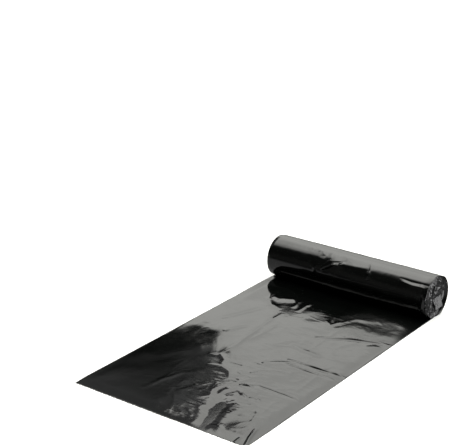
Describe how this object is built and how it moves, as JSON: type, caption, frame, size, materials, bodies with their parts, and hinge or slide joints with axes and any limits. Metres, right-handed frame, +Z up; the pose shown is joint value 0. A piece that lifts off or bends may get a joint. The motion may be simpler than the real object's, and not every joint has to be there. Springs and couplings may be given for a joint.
{
  "type": "bin bag roll",
  "caption": "Coreless roll of black polythene refuse sacks, folded in half along their length, with the leading sack partly drawn off and lying flat on the floor.",
  "frame": {"origin": "on the floor at the middle of the footprint, which is the film's underside", "axes": "+X along the roll's axis, +Y from the leading edge of the drawn-off sack towards the roll, +Z up"},
  "size_m": [0.35, 0.6324, 0.0797],
  "materials": {
    "sack_film": "glossy black polythene film with fine lengthwise draw lines and soft creases"
  },
  "bodies": {
    "root": {"sack_roll": "sack_film"}
  },
  "joints": []
}
